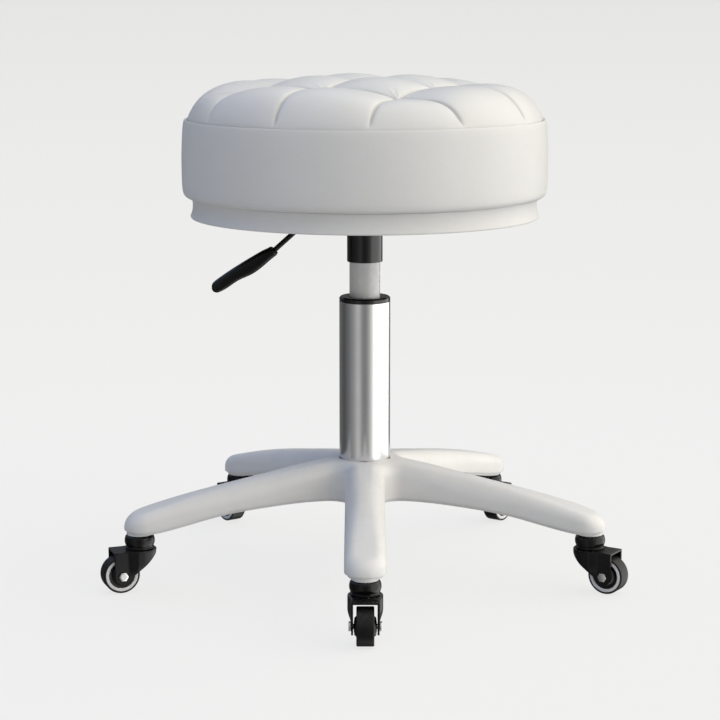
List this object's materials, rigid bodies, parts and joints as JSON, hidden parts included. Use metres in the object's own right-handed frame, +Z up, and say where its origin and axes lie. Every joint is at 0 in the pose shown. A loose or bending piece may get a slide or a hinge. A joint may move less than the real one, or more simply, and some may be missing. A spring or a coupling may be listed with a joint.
{
  "type": "rolling stylist stool",
  "caption": "Round tufted stool seat on a height-adjusting gas column with a star base and swivelling casters.",
  "frame": {"origin": "on the floor, on the axis of the column", "axes": "+Z up; -Y along arm 1, towards the viewer; the raising lever points along -X"},
  "size_m": [0.5085, 0.4861, 0.494],
  "materials": {
    "base_white": "satin off-white moulded plastic",
    "cylinder_white": "smooth white paint",
    "column_chrome": "satin chrome",
    "bright_steel": "zinc plated",
    "black_gloss": "glossy black",
    "black_plastic": "satin black",
    "black_steel": "black coat on steel",
    "black_rubber": "matt",
    "tyre": "smooth black tread",
    "ring_grey": "light grey",
    "plywood": "raw birch plywood",
    "dust_cloth": "black non-woven cloth",
    "foam": "open-cell foam",
    "cover_white": "smooth off-white faux leather"
  },
  "bodies": {
    "base": {"star_base": "base_white", "hub_sleeve": "bright_steel", "caster_sockets": "black_plastic", "caster_stems": "bright_steel", "caster_washers": "black_plastic", "column_tube": "column_chrome", "column_floor": "bright_steel", "guide_sleeve": "black_gloss", "thrust_bearing": "bright_steel", "swivel_cap_1": "black_plastic", "swivel_cap_2": "black_plastic", "swivel_cap_3": "black_plastic", "swivel_cap_4": "black_plastic", "swivel_cap_5": "black_plastic"},
    "gas_rod": {"piston_rod": "bright_steel", "rod_clip": "bright_steel", "bump_stop": "black_rubber", "gas_piston": "bright_steel"},
    "seat": {"gas_cylinder": "cylinder_white", "rod_guide": "black_plastic", "taper_socket": "black_gloss", "mechanism_plate": "black_steel", "lever_pivot_pin": "bright_steel", "plate_bolts": "bright_steel", "plate_washers": "bright_steel", "t_nuts": "bright_steel", "seat_board": "plywood", "dust_cover": "dust_cloth", "seat_foam": "foam", "seat_side_band": "cover_white", "seat_top": "cover_white", "seat_base_band": "cover_white"},
    "lever": {"lever_rod": "black_steel", "lever_grip": "black_plastic"},
    "release_button": {"release_pin": "bright_steel"},
    "caster_1": {"caster_fork_1": "black_steel", "caster_axle_1": "bright_steel"},
    "wheel_1": {"wheel_core_1": "black_plastic", "wheel_ring_1": "ring_grey", "tyre_1": "tyre"},
    "caster_2": {"caster_fork_2": "black_steel", "caster_axle_2": "bright_steel"},
    "wheel_2": {"wheel_core_2": "black_plastic", "wheel_ring_2": "ring_grey", "tyre_2": "tyre"},
    "caster_3": {"caster_fork_3": "black_steel", "caster_axle_3": "bright_steel"},
    "wheel_3": {"wheel_core_3": "black_plastic", "wheel_ring_3": "ring_grey", "tyre_3": "tyre"},
    "caster_4": {"caster_fork_4": "black_steel", "caster_axle_4": "bright_steel"},
    "wheel_4": {"wheel_core_4": "black_plastic", "wheel_ring_4": "ring_grey", "tyre_4": "tyre"},
    "caster_5": {"caster_fork_5": "black_steel", "caster_axle_5": "bright_steel"},
    "wheel_5": {"wheel_core_5": "black_plastic", "wheel_ring_5": "ring_grey", "tyre_5": "tyre"}
  },
  "joints": [
    {"name": "seat_swivel", "type": "hinge", "parent": "base", "child": "gas_rod", "pos_m": [0, 0, 0.0815], "axis": [0, 0, 1], "continuous": true},
    {"name": "seat_lift", "type": "slide", "parent": "gas_rod", "child": "seat", "axis": [0, 0, 1], "range_m": [-0.0275, 0.11]},
    {"name": "lever_lift", "type": "hinge", "parent": "seat", "child": "lever", "pos_m": [-0.027, 0, 0.349], "axis": [0, 1, 0], "range_deg": [0, 6], "stiffness_Nm_per_rad": 1.2, "springref_deg": -5.73},
    {"name": "release_press", "type": "slide", "parent": "seat", "child": "release_button", "axis": [0, 0, -1], "range_m": [0, 0.0026]},
    {"name": "caster_swivel_1", "type": "hinge", "parent": "base", "child": "caster_1", "pos_m": [0, -0.2285, 0.0404], "axis": [0, 0, 1], "continuous": true},
    {"name": "wheel_spin_1", "type": "hinge", "parent": "caster_1", "child": "wheel_1", "pos_m": [0, -0.2485, 0.01775], "axis": [1, 0, 0], "continuous": true},
    {"name": "caster_swivel_2", "type": "hinge", "parent": "base", "child": "caster_2", "pos_m": [0.21732, -0.07061, 0.0404], "axis": [0, 0, 1], "continuous": true},
    {"name": "wheel_spin_2", "type": "hinge", "parent": "caster_2", "child": "wheel_2", "pos_m": [0.23428, -0.08121, 0.01775], "axis": [0.5299, 0.848, 0], "continuous": true},
    {"name": "caster_swivel_3", "type": "hinge", "parent": "base", "child": "caster_3", "pos_m": [0.13431, 0.18486, 0.0404], "axis": [0, 0, 1], "continuous": true},
    {"name": "wheel_spin_3", "type": "hinge", "parent": "caster_3", "child": "wheel_3", "pos_m": [0.14607, 0.20104, 0.01775], "axis": [-0.809, 0.5878, 0], "continuous": true},
    {"name": "caster_swivel_4", "type": "hinge", "parent": "base", "child": "caster_4", "pos_m": [-0.13431, 0.18486, 0.0404], "axis": [0, 0, 1], "continuous": true},
    {"name": "wheel_spin_4", "type": "hinge", "parent": "caster_4", "child": "wheel_4", "pos_m": [-0.14607, 0.20104, 0.01775], "axis": [-0.809, -0.5878, 0], "continuous": true},
    {"name": "caster_swivel_5", "type": "hinge", "parent": "base", "child": "caster_5", "pos_m": [-0.21732, -0.07061, 0.0404], "axis": [0, 0, 1], "continuous": true},
    {"name": "wheel_spin_5", "type": "hinge", "parent": "caster_5", "child": "wheel_5", "pos_m": [-0.23599, -0.07778, 0.01775], "axis": [0.3584, -0.9336, 0], "continuous": true}
  ],
  "couplings": [
    {"joint": "release_press", "follows": "lever_lift", "m_per_rad": 0.0245}
  ]
}
